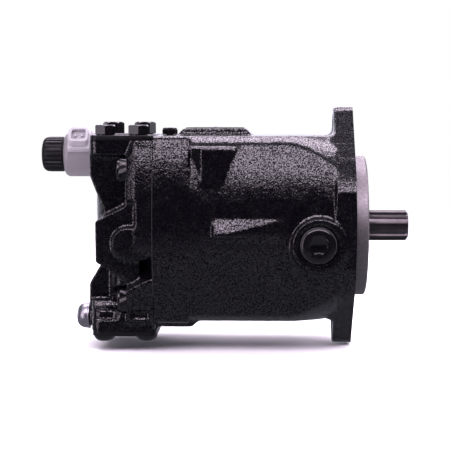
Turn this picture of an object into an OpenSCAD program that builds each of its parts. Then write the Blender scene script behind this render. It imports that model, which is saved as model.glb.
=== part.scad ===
// Variable axial piston pump, swashplate type, with an electric pressure control.
// X points out along the drive shaft, Z points up to the pressure port, and the origin is
// the centre of the mounting flange's front face.

/* [Mounting flange] */
// Diameter of the centring pilot
pilot_d = 101.6; // [96:0.1:102]
// Height of the centring pilot
pilot_h = 9.5; // [8:0.1:11]
// Thickness of the flange and its two ears
flange_t = 14; // [12:0.5:16]
// Distance between the two mounting holes
ear_span = 146; // [140:0.5:148]
// Diameter of the mounting holes
ear_hole_d = 14.3; // [13:0.1:15]
// Radius of the rounded end of an ear
ear_r = 14; // [12:0.5:15]
// Width of the flange across its flat sides
flange_w = 120; // [118:1:122]

/* [Housing] */
// Distance from the flange face to the joint with the port plate
case_len = 141; // [141:1:143]
// Half of the height of the cast body
case_half_h = 66; // [65:0.5:67]
// Half of the width of the cast body
case_half_w = 59; // [58:0.5:60]
// Radius of the cast body's shoulders
case_r = 75; // [74:0.5:76]
// Diameter of the drain port bosses
drain_boss_d = 40; // [36:1:42]

/* [Drive shaft] */
// Length of shaft in front of the flange face
shaft_out = 41; // [38:0.5:44]
// Outer diameter of the splined end
spline_d = 22.2; // [21:0.1:22.6]
// Number of spline teeth
spline_teeth = 13; // [11:1:15]
// Diameter of the shaft at the seal and the front bearing
journal_d = 25; // [25:0.1:25.4]
// Diameter of the shaft at the rear bearing
rear_journal_d = 20; // [19:0.1:20]

/* [Rotating group] */
// Diameter of a pumping piston
piston_d = 17; // [16.6:0.1:17]
// Diameter of a piston bore
bore_d = 17.96; // [17.96:0.01:18]
// Radius of the circle of piston bores
pitch_r = 28.5; // [28.5:0.05:28.7]
// Radius of the circle of slippers on the swashplate
slipper_pitch_r = 28.89; // [28.8:0.01:29]
// Radius of a piston's ball
ball_r = 5.1; // [5:0.05:5.1]
// Diameter of a slipper's running face
slipper_d = 18.6; // [18:0.1:18.8]

/* [Ports] */
// Distance from the flange face to the middle of the pressure port
b_port_x = 165.6; // [165:0.1:166]
// Screw spacing of the pressure port along the shaft
b_span_x = 23.8; // [22.2:0.1:24]
// Screw spacing of the pressure port across the shaft
b_span_y = 50.8; // [47.6:0.1:51]
// Distance from the flange face to the middle of the suction port
s_port_x = 163.2; // [163:0.1:164]
// Screw spacing of the suction port along the shaft
s_span_x = 30.2; // [30:0.1:30.4]
// Screw spacing of the suction port across the shaft
s_span_y = 58.7; // [58:0.1:59]

/* [Control] */
// Outer diameter of the solenoid's coil can
can_d = 35; // [33:0.5:36]
// Length of the coil can
can_len = 30; // [28:0.5:31]
// Outer diameter of the ribbed solenoid nut
nut_d = 27.4; // [26:0.1:29]
// Length of the ribbed solenoid nut
nut_len = 17.6; // [17:0.1:19]
// Number of ribs round the solenoid nut
nut_ribs = 24; // [18:1:30]

/* [Hidden] */
$fn = 96;
eps = 0.05;
fit = 0.1;
piston_count = 9;
// Places along the shaft, all behind the flange face
flange_r = 66;
gasket_t = 0.5;
seam_x = -case_len;
plate_front = seam_x - gasket_t;
tilt_x = seam_x + 65;
wall_x = -50;
block_front = tilt_x - 12;
block_rear = seam_x + 4.1;
hub_rear = block_front - 16;
// Swashplate
swash_face = tilt_x + 5;
swash_back = swash_face + 9;
cradle_r = 36;
cradle_in = 28.5;
cradle_out = 41.5;
guide_r = 16;
// Stroking and bias pistons
lever_y = 20;
lever_z = 50;
servo_r = 7.5;
servo_tip_r = 5;
servo_tip_x = tilt_x - servo_tip_r - 0.15;
servo_body_x = seam_x + 13;
// Port plate
plate_t = 22;
plate_x = seam_x - plate_t;
top_plug_x = -133;
rim_r = 80;
rim_t = 25;
rear_x = seam_x - 19.5;
screw_y = 41;
screw_z = [-50, 41.4];
screw_seat_x = seam_x - 14;
gauge_boss_x = seam_x - 17.6;
gauge_boss_z = -8.8;
gauge_boss_r = 11.3;
b_face_z = 62.6;
b_cover_t = 3.7;
s_face_z = -72.5;
s_cover_t = 4.1;
b_pad_x = [-188, -143];
s_pad_x = [-187, -141.5];
cap_z = -66.4;
// Control valve on the far side
spool_y = 68;
spool_z = 50;
valve_x = [-190, -143];
valve_y = [54, 82];
valve_z = [24, 66];
valve_screw_x = [-158, -148];
valve_screw_z = [29, 59];
spool_r = 4;
tube_r = 8;
armature_r = 6;
can_x = valve_x[0] - 1 - can_len;
// Drain ports
// X and Z of the near port and of the far one
drain_at = [[-26, -9], [-25.4, -7.5]];
drain_y = 62;
drain_seat_y = 60.8;
plug_r = 8.25;

// ---- General shapes ----

// A rod along X from x1 to x2
module rod_x(x1, x2, r) {
  translate([x1, 0, 0]) rotate([0, 90, 0]) cylinder(h = x2 - x1, r = r);
}

// A rod along Y from y1 to y2
module rod_y(y1, y2, r) {
  translate([0, y2, 0]) rotate([90, 0, 0]) cylinder(h = y2 - y1, r = r);
}

// A ring along X
module ring_x(x1, x2, r_in, r_out) {
  difference() {
    rod_x(x1, x2, r_out);
    rod_x(x1 - 1, x2 + 1, r_in);
  }
}

// An outline drawn in the Y-Z plane, extruded along X
module along_x(x1, x2) {
  translate([x1, 0, 0]) rotate([90, 0, 90]) linear_extrude(height = x2 - x1) children();
}

// An outline drawn in the X-Z plane, extruded along Y
module along_y(y1, y2) {
  translate([0, y2, 0]) rotate([90, 0, 0]) linear_extrude(height = y2 - y1) children();
}

// A box between two corners
module block(low, high) {
  translate(low) cube(high - low);
}

// Children at the four corners of a rectangle in the X-Y plane
module at_corners(span_x, span_y) {
  for (sx = [-1, 1]) for (sy = [-1, 1]) translate([sx * span_x / 2, sy * span_y / 2, 0]) children();
}

// A rounded rectangle
module round_rect(w, h, r) {
  square([w - 2 * r, h], center = true);
  square([w, h - 2 * r], center = true);
  for (sx = [-1, 1]) for (sy = [-1, 1]) translate([sx * (w / 2 - r), sy * (h / 2 - r)]) circle(r = r);
}

// A socket-head screw along Z: its head stands on z = 0 and its shank goes down
module cap_screw(head_r, head_h, shank_r, shank_len, socket_af) {
  difference() {
    union() {
      cylinder(h = head_h - 0.6, r = head_r);
      translate([0, 0, head_h - 0.6]) cylinder(h = 0.6, r1 = head_r, r2 = head_r - 0.6);
      translate([0, 0, -shank_len]) cylinder(h = shank_len + eps, r = shank_r);
    }
    translate([0, 0, head_h * 0.45]) cylinder(h = head_h, r = socket_af / sqrt(3), $fn = 6);
  }
}

// A hexagon screw along Z, with its head's corners turned off
module hex_screw(flats, head_h, shank_r, shank_len) {
  corner = flats / sqrt(3);
  intersection() {
    cylinder(h = head_h, r = corner, $fn = 6);
    rotate_extrude() polygon([[0, -1], [corner, -1], [corner, head_h - 1], [flats * 0.48, head_h], [0, head_h]]);
  }
  translate([0, 0, -shank_len]) cylinder(h = shank_len + eps, r = shank_r);
}

// A button-head screw along Z
module button_screw(head_r, head_h, shank_r, shank_len, socket_af) {
  difference() {
    union() {
      cylinder(h = head_h * 0.35, r = head_r);
      translate([0, 0, head_h * 0.35]) cylinder(h = head_h * 0.65, r1 = head_r, r2 = head_r * 0.62);
      translate([0, 0, -shank_len]) cylinder(h = shank_len + eps, r = shank_r);
    }
    translate([0, 0, head_h * 0.4]) cylinder(h = head_h, r = socket_af / sqrt(3), $fn = 6);
  }
}

// A helical compression spring along X
function coil_point(x1, x2, mean_r, turns, t) =
  [x1 + (x2 - x1) * t, mean_r * cos(360 * turns * t), mean_r * sin(360 * turns * t)];

module coil_spring(x1, x2, mean_r, wire_r, turns) {
  sides = 8;
  steps = turns * 18;
  rings = [
    for (k = [0:steps])
      let (t = k / steps, a = 360 * turns * t, c = coil_point(x1 + wire_r, x2 - wire_r, mean_r, turns, t))
        [for (s = [0:sides - 1])
          let (b = 360 * s / sides, r = wire_r * cos(b))
            c + [wire_r * sin(b), r * cos(a), r * sin(a)]]
  ];
  points = [for (ring = rings) each ring];
  walls = [
    for (k = [0:steps - 1]) for (s = [0:sides - 1])
      let (n = (s + 1) % sides)
        [k * sides + s, k * sides + n, (k + 1) * sides + n, (k + 1) * sides + s]
  ];
  start_cap = [[for (s = [0:sides - 1]) sides - 1 - s]];
  end_cap = [[for (s = [0:sides - 1]) steps * sides + s]];
  polyhedron(points = points, faces = concat(walls, start_cap, end_cap), convexity = 8);
}

// ---- Outlines of the castings ----

// Cross-section of the cast body in the Y-Z plane
module case_outline(shoulder_r, side_r) {
  intersection() {
    circle(r = shoulder_r);
    translate([side_r - case_half_w, 0]) circle(r = side_r);
    translate([case_half_w - side_r, 0]) circle(r = side_r);
    square([4 * case_half_w, 2 * case_half_h], center = true);
  }
}

// The two-eared mounting flange: a disc joined to each ear's rounded end by flanks set in by a little
module flange_outline() {
  ear_z = ear_span / 2;
  turn = acos((flange_r - ear_r) / ear_z);
  disc_flank_r = flange_r - 0.3;
  ear_flank_r = ear_r - 0.3;
  intersection() {
    circle(r = flange_r);
    square([flange_w, 3 * flange_r], center = true);
  }
  for (up = [-1, 1]) {
    translate([0, up * ear_z]) circle(r = ear_r);
    polygon([
      [-disc_flank_r * sin(turn), up * disc_flank_r * cos(turn)],
      [-ear_flank_r * sin(turn), up * (ear_z + ear_flank_r * cos(turn))],
      [ear_flank_r * sin(turn), up * (ear_z + ear_flank_r * cos(turn))],
      [disc_flank_r * sin(turn), up * disc_flank_r * cos(turn)]
    ]);
  }
}

// ---- Housing ----

// Cast body, flange, ledges, bosses and the pad that carries the name plate
module case_solid() {
  along_x(-flange_t, 0) flange_outline();
  rod_x(-1, pilot_h - 1, pilot_d / 2);
  rod_x(pilot_h - 1.01, pilot_h, pilot_d / 2 - 1);
  intersection() {
    along_x(seam_x, -flange_t + 1) case_outline(case_r, 130);
    // the shoulders slope down to the flange
    rotate([0, 90, 0]) rotate_extrude()
      polygon([
        [0, seam_x - 1], [90, seam_x - 1], [90, -60], [75.6, -50], [74.6, -41], [72.8, -32], [70.4, -23],
        [67.2, -flange_t + 2], [0, -flange_t + 2]
      ]);
  }
  along_x(seam_x, seam_x + rim_t) case_outline(rim_r, 190);
  // ledge under the joint, with a sloping front end
  along_y(-35, 35) polygon([
    [seam_x, -60], [seam_x, -70.7], [seam_x + 26, -70.7], [seam_x + 31, -case_half_h], [seam_x + 31, -60]
  ]);
  ear_webs();
  // drain bosses on both sides
  for (far = [0, 1]) at_drain(far) translate([0.8, 0, 0.8 * (2 * far - 1)]) rotate([90, 0, 0])
    translate([0, 0, 50]) cylinder(h = drain_y - 50, r1 = drain_boss_d / 2 + 1, r2 = drain_boss_d / 2 - 0.6);
  // tapering rib on the near side, with a sloping upper face
  intersection() {
    along_x(-99, -50.5) polygon([[-50, 12], [-58, 10.5], [-64.2, -2.5], [-63.4, -4.5], [-50, -4.5]]);
    translate([0, 0, -5]) linear_extrude(height = 20)
      polygon([[-100, -50], [-100, -64], [-98, -64.6], [-50, -59.2], [-50, -50]]);
  }
  // buttress on the near shoulder
  translate([0, 0, 18]) linear_extrude(height = 40)
    polygon([[-122, -43], [-107, -55.3], [-93.5, -55.3], [-77.5, -43]]);
  // raised pad on top
  along_y(-17, 17) polygon([
    [-128, case_half_h - 2], [-127, case_half_h], [-122, 71.2], [-77, 71.2], [-72, case_half_h], [-71, case_half_h - 2]
  ]);
  // small pad for the top plug
  translate([top_plug_x, 0, case_half_h - 2]) cylinder(h = 2.6, r = 8);
}

// The near drain port's place, or the far one's, turned to face the near side
module at_drain(far) {
  rotate([180 * far, 0, 0]) translate([drain_at[far][0], 0, drain_at[far][1] * (1 - 2 * far)]) children();
}

// Fillet webs between the ears and the cast body
module ear_webs() {
  web = 4;
  for (up = [0, 180]) rotate([up, 0, 0]) intersection() {
    along_x(-flange_t - web, 0) flange_outline();
    difference() {
      block([-flange_t - web, -40, case_half_h - 7], [-flange_t + 1, 40, case_half_h + web]);
      translate([-flange_t - web, 0, case_half_h + web]) rod_y(-50, 50, web);
    }
  }
}

// Everything that is machined or cored out of the housing
module case_cuts() {
  // bearing bore, shoulder and seal bore
  rod_x(wall_x - 1, -31, 26);
  rod_x(-32, -21, 20);
  rod_x(-22, pilot_h + 1, 21);
  rod_x(-5.6, -4, 22.4);
  // chamber round the cylinder block and the wider one round the swashplate
  rod_x(seam_x - 1, -99, 44);
  rod_x(-100, wall_x, 50);
  // saddles for the cradle bearing
  for (up = [-1, 1]) translate([tilt_x, 0, up * (cradle_in + cradle_out) / 2])
    cylinder(h = cradle_out - cradle_in + 1, r = cradle_r + 2.1, center = true);
  // guide bores and lever pockets of the bias piston and the stroking piston
  for (turn = [0, 180]) rotate([turn, 0, 0]) {
    translate([0, -lever_y, lever_z]) rod_x(seam_x - 1, -95, servo_r + fit);
    block([-104, -lever_y - 12, lever_z - 12], [wall_x - 2, -lever_y + 12, lever_z + 9.5]);
  }
  // mounting holes and the channels that clear their bolts
  for (up = [-1, 1]) translate([0, 0, up * ear_span / 2]) {
    rod_x(-flange_t - 1, 1, ear_hole_d / 2);
    rod_x(wall_x, -flange_t, 11.5);
  }
  // tapped holes for the port plate screws
  for (y = [-screw_y, screw_y]) for (z = screw_z)
    translate([0, y, z]) rod_x(seam_x - 1, seam_x + 26, 6);
  // drain ports and their passages into the chamber
  for (far = [0, 1]) at_drain(far) {
    rod_y(-drain_y - 1, -42, plug_r);
    if (far == 0) rod_y(-drain_y - 1, -drain_seat_y, 14);
    translate([0, -45, 0]) rod_x(-28, 0, 3.5);
  }
  // tapped hole for the top plug
  translate([top_plug_x, 0, 56]) cylinder(h = 20, r = 3);
}

module housing() {
  color([0.06, 0.06, 0.07]) difference() {
    case_solid();
    case_cuts();
  }
}

module case_gasket() {
  color([0.25, 0.25, 0.26]) difference() {
    intersection() {
      along_x(plate_front, seam_x) case_outline(rim_r - 0.5, 190);
      rod_x(plate_front - 1, seam_x + 1, 70);
    }
    rod_x(plate_front - 1, seam_x + 1, 44);
    for (turn = [0, 180]) rotate([turn, 0, 0])
      translate([0, -lever_y, lever_z]) rod_x(plate_front - 1, seam_x + 1, servo_r + fit);
    for (y = [-screw_y, screw_y]) for (z = screw_z)
      translate([0, y, z]) rod_x(plate_front - 1, seam_x + 1, 6.3);
  }
}

module name_plate() {
  color([0.09, 0.09, 0.1]) translate([-99.5, 0, 71.2]) {
    linear_extrude(height = 0.5) round_rect(42, 28, 2);
    for (y = [-11, 11]) translate([0, y, 0.5]) cylinder(h = 0.5, r1 = 2, r2 = 1.3);
  }
}

// ---- Shaft seal and bearings ----

module shaft_seal() {
  color([0.12, 0.1, 0.1]) rotate([0, 90, 0]) rotate_extrude() polygon([
    [21, -13], [21, -6], [13.6, -6], [12.55, -8.4], [14, -9.4], [14.2, -7], [19, -7], [19, -13]
  ]);
}

module seal_circlip() {
  color([0.35, 0.35, 0.38]) difference() {
    ring_x(-5.5, -4.1, 18.4, 22.3);
    block([-6, -2, 14], [-3, 2, 24]);
  }
}

// Tapered roller bearing, drawn about its middle with the wide end towards -X
bearing_slope = 14;
function race_r(mid_r, offset, x) = mid_r + offset - x * tan(bearing_slope);

module bearing_cup(mid_r, roller_r, od_r, w) {
  rotate([0, 90, 0]) rotate_extrude() polygon([
    [od_r, -w / 2], [od_r, w / 2],
    [race_r(mid_r, roller_r + eps, w / 2), w / 2], [race_r(mid_r, roller_r + eps, -w / 2), -w / 2]
  ]);
}

module bearing_cone(mid_r, roller_r, bore_r, w) {
  rotate([0, 90, 0]) rotate_extrude() polygon([
    [bore_r, -w / 2 - 1], [bore_r, w / 2],
    [race_r(mid_r, -roller_r - eps, w / 2), w / 2], [race_r(mid_r, -roller_r - eps, -w / 2), -w / 2],
    [race_r(mid_r, -roller_r - eps, -w / 2), -w / 2 - 1]
  ]);
}

module bearing_roller_ring(mid_r, roller_r, w, count) {
  len = w - 4;
  for (i = [0:count - 1]) rotate([i * 360 / count, 0, 0]) translate([0, 0, mid_r])
    rotate([0, 90 + bearing_slope, 0]) cylinder(h = len, r = roller_r - 0.12, center = true);
  // cage rings that hold the rollers at both ends
  for (end = [-1, 1]) rotate([0, 90, 0]) rotate_extrude() polygon([
    for (corner = [[-0.8, 0], [0.8, 0], [0.8, 1], [-0.8, 1]])
      let (x = end * (len / 2 + 0.3 + corner[1])) [race_r(mid_r, corner[0], x), x]
  ]);
}

front_race_r = 19.2;
rear_race_r = 16.8;
front_bearing_x = -38.5;
rear_bearing_x = plate_front - 8;

module bearing_cups() {
  color([0.72, 0.73, 0.75]) {
    translate([front_bearing_x, 0, 0]) bearing_cup(front_race_r, 3, 26, 15);
    translate([rear_bearing_x, 0, 0]) mirror([1, 0, 0]) bearing_cup(rear_race_r, 2.9, 23.5, 14);
  }
}

module bearing_cones() {
  color([0.72, 0.73, 0.75]) {
    translate([front_bearing_x, 0, 0]) bearing_cone(front_race_r, 3, journal_d / 2, 15);
    translate([rear_bearing_x, 0, 0]) mirror([1, 0, 0]) bearing_cone(rear_race_r, 2.9, rear_journal_d / 2, 14);
  }
}

module bearing_rollers() {
  color([0.8, 0.8, 0.82]) {
    translate([front_bearing_x, 0, 0]) bearing_roller_ring(front_race_r, 3, 15, 15);
    translate([rear_bearing_x, 0, 0]) mirror([1, 0, 0]) bearing_roller_ring(rear_race_r, 2.9, 14, 14);
  }
}

// ---- Drive shaft ----

// Splined outline in the Y-Z plane
module spline_outline(r_root, r_tip, teeth) {
  circle(r = r_root);
  pitch = 360 / teeth;
  foot = (r_root - 0.5) * [cos(pitch * 0.32), sin(pitch * 0.32)];
  crest = r_tip * [cos(pitch * 0.17), sin(pitch * 0.17)];
  for (i = [0:teeth - 1]) rotate(i * pitch)
    polygon([[foot[0], -foot[1]], [crest[0], -crest[1]], crest, foot]);
}

module drive_shaft() {
  tip_r = spline_d / 2;
  color([0.55, 0.53, 0.53]) difference() {
    union() {
      intersection() {
        along_x(12, shaft_out) spline_outline(tip_r - 1.5, tip_r, spline_teeth);
        rotate([0, 90, 0]) rotate_extrude() polygon([
          [0, 11], [tip_r + 1, 11], [tip_r + 1, shaft_out - 2.4], [tip_r - 1.9, shaft_out], [0, shaft_out]
        ]);
      }
      rotate([0, 90, 0]) rotate_extrude() polygon([
        [0, plate_x + 3], [rear_journal_d / 2 - 1, plate_x + 3], [rear_journal_d / 2, plate_x + 4],
        [rear_journal_d / 2, plate_front], [journal_d / 2, plate_front], [journal_d / 2, wall_x],
        [15.5, wall_x], [15.5, front_bearing_x - 8.5], [journal_d / 2, front_bearing_x - 8.5],
        [journal_d / 2, 9.5], [tip_r - 1.8, 13], [0, 13]
      ]);
    }
    // centre drilling in the driven end
    rotate([0, 90, 0]) translate([0, 0, shaft_out - 5]) cylinder(h = 5.1, r1 = 0.5, r2 = 3);
  }
}

// ---- Rotating group ----

module at_piston(i, r) {
  rotate([(i - 1) * 360 / piston_count, 0, 0]) translate([0, 0, r]) children();
}

module cylinder_block() {
  color([0.66, 0.6, 0.42]) difference() {
    rod_x(block_rear, block_front, 40.7);
    // spline hub in front and the spring chamber behind it
    rod_x(block_rear - 1, block_front + 1, journal_d / 2 + eps);
    rod_x(block_rear - 1, hub_rear, 17);
    rod_x(block_rear + 5.9, block_rear + 7.4, 18);
    for (i = [1:piston_count]) {
      at_piston(i, pitch_r) rod_x(block_rear + 6, block_front + 1, bore_d / 2);
      at_piston(i, pitch_r) rod_x(block_rear - 1, block_rear + 7, 4.4);
    }
    for (i = [0:2]) rotate([i * 120 + 20, 0, 0]) translate([0, 0, 14.6]) rod_x(hub_rear - 1, block_front + 1, 1.6);
    // relief round the outside
    ring_x(block_front - 12, block_front - 3, 39.7, 42);
  }
}

module spring_washers() {
  color([0.6, 0.6, 0.62]) {
    ring_x(hub_rear - 2, hub_rear, 12.7, 16.8);
    ring_x(block_rear + 7.5, block_rear + 9.5, 12.7, 16.8);
    ring_x(block_rear + 6, block_rear + 7.3, 14.4, 17.9);
  }
}

module centre_spring() {
  color([0.5, 0.5, 0.52]) coil_spring(block_rear + 9.6, hub_rear - 2.1, 14.8, 1.3, 5);
}

module pressure_pins() {
  color([0.75, 0.75, 0.77]) for (i = [0:2]) rotate([i * 120 + 20, 0, 0])
    translate([0, 0, 14.6]) rod_x(hub_rear + eps, tilt_x - 6.1, 1.5);
}

// Ball that the retainer plate rides on, centred on the tilt axis
module retaining_ball() {
  color([0.7, 0.62, 0.4]) intersection() {
    difference() {
      translate([tilt_x, 0, 0]) sphere(r = guide_r);
      rod_x(tilt_x - 20, tilt_x + 20, journal_d / 2 + eps);
    }
    rod_x(tilt_x - 6, tilt_x + 2.4, 20);
  }
}

module valve_plate() {
  color([0.78, 0.78, 0.8]) difference() {
    ring_x(plate_front, seam_x + 4, 20.2, 40);
    kidney(18, 162, 1, 5);
    for (a = [200, 248, 296]) kidney(a, a + 34, 1, 5);
  }
}

// Kidney-shaped slot round the piston circle, from one angle to another above +Y
module kidney(a1, a2, front, depth) {
  far = 60;
  mid = (a1 + a2) / 2;
  translate([seam_x - 1, 0, 0]) rotate([90, 0, 90]) linear_extrude(height = depth + front) {
    intersection() {
      difference() {
        circle(r = pitch_r + 4.2);
        circle(r = pitch_r - 4.2);
      }
      polygon([
        [0, 0], far * [cos(a1), sin(a1)], 1.5 * far * [cos((a1 + mid) / 2), sin((a1 + mid) / 2)],
        1.5 * far * [cos((a2 + mid) / 2), sin((a2 + mid) / 2)], far * [cos(a2), sin(a2)]
      ]);
    }
    for (a = [a1, a2]) translate(pitch_r * [cos(a), sin(a)]) circle(r = 4);
  }
}

module piston(i) {
  color([0.8, 0.8, 0.82]) at_piston(i, slipper_pitch_r) translate([tilt_x, 0, 0]) difference() {
    union() {
      sphere(r = ball_r);
      rod_x(-10, -3, 3.3);
      rod_x(-46, -9, piston_d / 2);
    }
    rod_x(-47, -16, piston_d / 2 - 3);
    rod_x(-20, 6, 0.8);
    rod_x(4.3, 6, ball_r);
  }
}

module slipper(i) {
  color([0.72, 0.58, 0.3]) at_piston(i, slipper_pitch_r) translate([tilt_x, 0, 0]) difference() {
    union() {
      rod_x(1.9, 4.95, slipper_d / 2);
      rod_x(-2.5, 2, 6.9);
    }
    sphere(r = ball_r + fit);
    rod_x(4.3, 6, 6.2);
    rod_x(3, 6, 0.8);
  }
}

module retainer_plate() {
  color([0.62, 0.62, 0.65]) difference() {
    rod_x(tilt_x - 0.7, tilt_x + 1.8, slipper_pitch_r + 10.2);
    translate([tilt_x, 0, 0]) sphere(r = guide_r + fit);
    for (i = [1:piston_count]) at_piston(i, slipper_pitch_r) rod_x(tilt_x - 3, tilt_x + 3, 7.5);
  }
}

module swashplate() {
  color([0.5, 0.5, 0.53]) difference() {
    union() {
      rod_x(swash_face, swash_back, 41);
      // two round-backed cheeks that roll in the cradle bearing
      for (up = [-1, 1]) intersection() {
        translate([tilt_x, 0, up * (cradle_in + cradle_out) / 2])
          cylinder(h = cradle_out - cradle_in, r = cradle_r - eps, center = true);
        block([swash_face, -25, -50], [0, 25, 50]);
      }
      // lever arms for the bias piston and the stroking piston
      for (turn = [0, 180]) rotate([turn, 0, 0]) {
        block([swash_face, -lever_y - 7, 30], [swash_back - 1, -lever_y + 7, lever_z + 7]);
        block([tilt_x, -lever_y - 7, lever_z - 6.5], [swash_face + 1, -lever_y + 7, lever_z + 7]);
      }
    }
    rod_x(tilt_x, 0, 18.8);
  }
}

module cradle_bearings() {
  color([0.75, 0.55, 0.35]) for (up = [-1, 1]) intersection() {
    translate([tilt_x, 0, up * (cradle_in + cradle_out) / 2]) difference() {
      cylinder(h = cradle_out - cradle_in - 1, r = cradle_r + 2.1, center = true);
      cylinder(h = cradle_out - cradle_in + 1, r = cradle_r + eps, center = true);
    }
    block([wall_x + 0.5, -27, -50], [0, 27, 50]);
  }
}

// ---- Stroking and bias pistons ----

module servo_piston() {
  translate([servo_tip_x, 0, 0]) sphere(r = servo_tip_r);
  rod_x(-99, servo_tip_x, 4);
  rod_x(servo_body_x, -98, servo_r);
}

module bias_piston() {
  color([0.75, 0.75, 0.78]) translate([0, -lever_y, lever_z]) servo_piston();
}

module stroke_piston() {
  color([0.75, 0.75, 0.78]) translate([0, lever_y, -lever_z]) servo_piston();
}

module bias_spring() {
  color([0.5, 0.5, 0.52]) translate([0, -lever_y, lever_z]) coil_spring(seam_x + 0.1, servo_body_x - 0.1, 5.8, 0.9, 4);
}

// ---- Port plate ----

// Side view of the port plate's rim in the X-Z plane, with its bevelled top corner
module rim_side_outline() {
  polygon([
    [plate_front, b_face_z], [seam_x - 14, b_face_z], [rear_x, 52], [rear_x, -66], [rear_x + 4, -70], [plate_front, -70]
  ]);
}

// Side view of the wedge-shaped body behind the rim
module wedge_side_outline() {
  polygon([
    [seam_x - 10, 22], [seam_x - 14, 20.5], [seam_x - 41.2, 6.4], [seam_x - 41.2, -22.5], [seam_x - 19, -36], [seam_x - 10, -38]
  ]);
}

// Rear silhouette of the two port blocks in the X-Z plane
module b_block_outline() {
  polygon([
    [b_pad_x[1], b_face_z], [b_pad_x[0], b_face_z], [b_pad_x[0], 37], [-178, 11.7], [-178, -5], [b_pad_x[1], -5]
  ]);
}

module s_block_outline() {
  polygon([
    [s_pad_x[1], s_face_z], [s_pad_x[0], s_face_z], [s_pad_x[0], -60], [-189.5, -55], [-189.5, -40], [-180.5, -25],
    [-180.5, 5], [s_pad_x[1], 5]
  ]);
}

// The rim that meets the housing, bevelled along its sides above the wedge
module plate_rim() {
  difference() {
    intersection() {
      along_y(-60, 60) rim_side_outline();
      along_x(rear_x - 1, plate_front) union() {
        case_outline(rim_r, 190);
        translate([0, -68]) square([70, 30], center = true);
      }
    }
    for (side = [-1, 1]) difference() {
      block([rear_x - 1, -70, 21], [seam_x - 12.5, 70, 80]);
      translate([rear_x - 1, side * (case_half_w - 190), 0]) rotate([0, 90, 0])
        cylinder(h = seam_x - 11.5 - rear_x, r1 = 185.8, r2 = 190);
    }
    // step beside the wedge
    for (side = [-1, 1]) translate([0, side * 56, 0]) block([rear_x - 1, -6, -37], [seam_x - 12.5, 6, 21]);
    // sloping shoulder below the wedge
    for (side = [-1, 1]) translate([rear_x, side * 50, -40])
      rotate([0, -46.5, side * 131.2]) translate([0, -20, -20]) cube([20, 40, 40]);
  }
}

module plate_solid() {
  plate_rim();
  along_y(-50, 50) wedge_side_outline();
  along_y(-32, 32) b_block_outline();
  along_y(-28, 28) s_block_outline();
  // pads that carry the two port covers
  translate([(b_pad_x[0] + b_pad_x[1]) / 2, 0, b_face_z - 10.6])
    linear_extrude(height = 10.6) round_rect(b_pad_x[1] - b_pad_x[0], 74, 6);
  translate([(s_pad_x[0] + s_pad_x[1]) / 2, 0, s_face_z]) {
    linear_extrude(height = 7.5) round_rect(s_pad_x[1] - s_pad_x[0], 82, 7);
    linear_extrude(height = 21) round_rect(s_pad_x[1] - s_pad_x[0], 76, 7);
  }
  // round necks between the pads and the body
  translate([-b_port_x, 0, 0]) cylinder(h = b_face_z, r = 21.5);
  translate([-s_port_x, 0, s_face_z]) cylinder(h = 70, r = 21.5);
  for (y = [-31, 31]) translate([-s_port_x, y, s_face_z + 5]) cylinder(h = 50, r = 10);
  // long boss on the near side
  translate([gauge_boss_x, 0, gauge_boss_z]) {
    rod_y(-58, -40, gauge_boss_r);
    block([0, -58, -gauge_boss_r], [14, -40, gauge_boss_r]);
  }
  // pad for the control valve on the far side
  block([rear_x, 40, valve_z[0]], [seam_x - 3, valve_y[0], b_face_z - 1]);
  // boss behind the suction block for the capped port
  translate([0, -8, cap_z]) rod_x(-191.5, s_pad_x[0] + eps, 11);
}

module plate_cuts() {
  // rear bearing bore and its blind end
  rod_x(rear_bearing_x - 7, seam_x + 1, 23.5);
  rod_x(plate_x + 1.5, seam_x + 1, 13);
  // pressure passage from the top port down to its kidney
  translate([-b_port_x, 0, 28]) cylinder(h = 50, r = 9.5);
  kidney_passage(18, 162);
  // suction passage from the bottom port up to its kidney
  translate([-s_port_x, 0, -80]) cylinder(h = 52, r = 15.5);
  kidney_passage(200, 330);
  // tapped holes in both port faces
  translate([-b_port_x, 0, b_face_z - 17]) at_corners(b_span_x, b_span_y) cylinder(h = 18, r = 5);
  translate([-s_port_x, 0, s_face_z - 1]) at_corners(s_span_x, s_span_y) cylinder(h = 14.5, r = 5);
  // clearance holes and spot faces for the four main screws
  for (y = [-screw_y, screw_y]) for (z = screw_z) translate([0, y, z]) {
    rod_x(plate_x - 30, seam_x + 1, 6.3);
    rod_x(plate_x - 30, screw_seat_x, 9);
  }
  // control valve seat and its tapped holes
  block([-200, valve_y[0], valve_z[0] - 1], [seam_x + 1, 90, 80]);
  for (x = valve_screw_x) for (z = valve_screw_z) translate([x, 0, z]) rod_y(42, 60, 2.6);
  // capped port and the cast pocket on the near side
  translate([0, -8, cap_z]) rod_x(-193, -180, 4);
  block([-157.5, -62, -63.5], [-144, -46, -56.5]);
}

// Short axial run of a port passage behind the valve plate
module kidney_passage(a1, a2) {
  translate([-9, 0, 0]) intersection() {
    kidney(a1, a2, 1, 9.5);
    ring_x(seam_x - 20, seam_x + 20, 24.5, 40);
  }
  up = a1 < 180 ? 1 : -1;
  translate([0, 0, up * pitch_r]) rod_x(-(a1 < 180 ? b_port_x : s_port_x), seam_x - 5, 4.2);
}

module port_plate() {
  color([0.06, 0.06, 0.07]) difference() {
    plate_solid();
    plate_cuts();
  }
}

module port_plate_screws() {
  color([0.12, 0.12, 0.13]) for (y = [-screw_y, screw_y]) for (z = screw_z)
    translate([screw_seat_x, y, z]) rotate([0, -90, 0]) cap_screw(8.5, 12, 5.95, 36, 10);
}

// ---- Port covers and plugs ----

module port_cover(span_x, span_y, w, h, t) {
  difference() {
    union() {
      linear_extrude(height = t) round_rect(w, h, 6);
      translate([0, 0, t - eps]) cylinder(h = 1, r1 = 15, r2 = 14);
    }
    translate([0, 0, -1]) at_corners(span_x, span_y) cylinder(h = t + 2, r = 5.3);
  }
}

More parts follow.
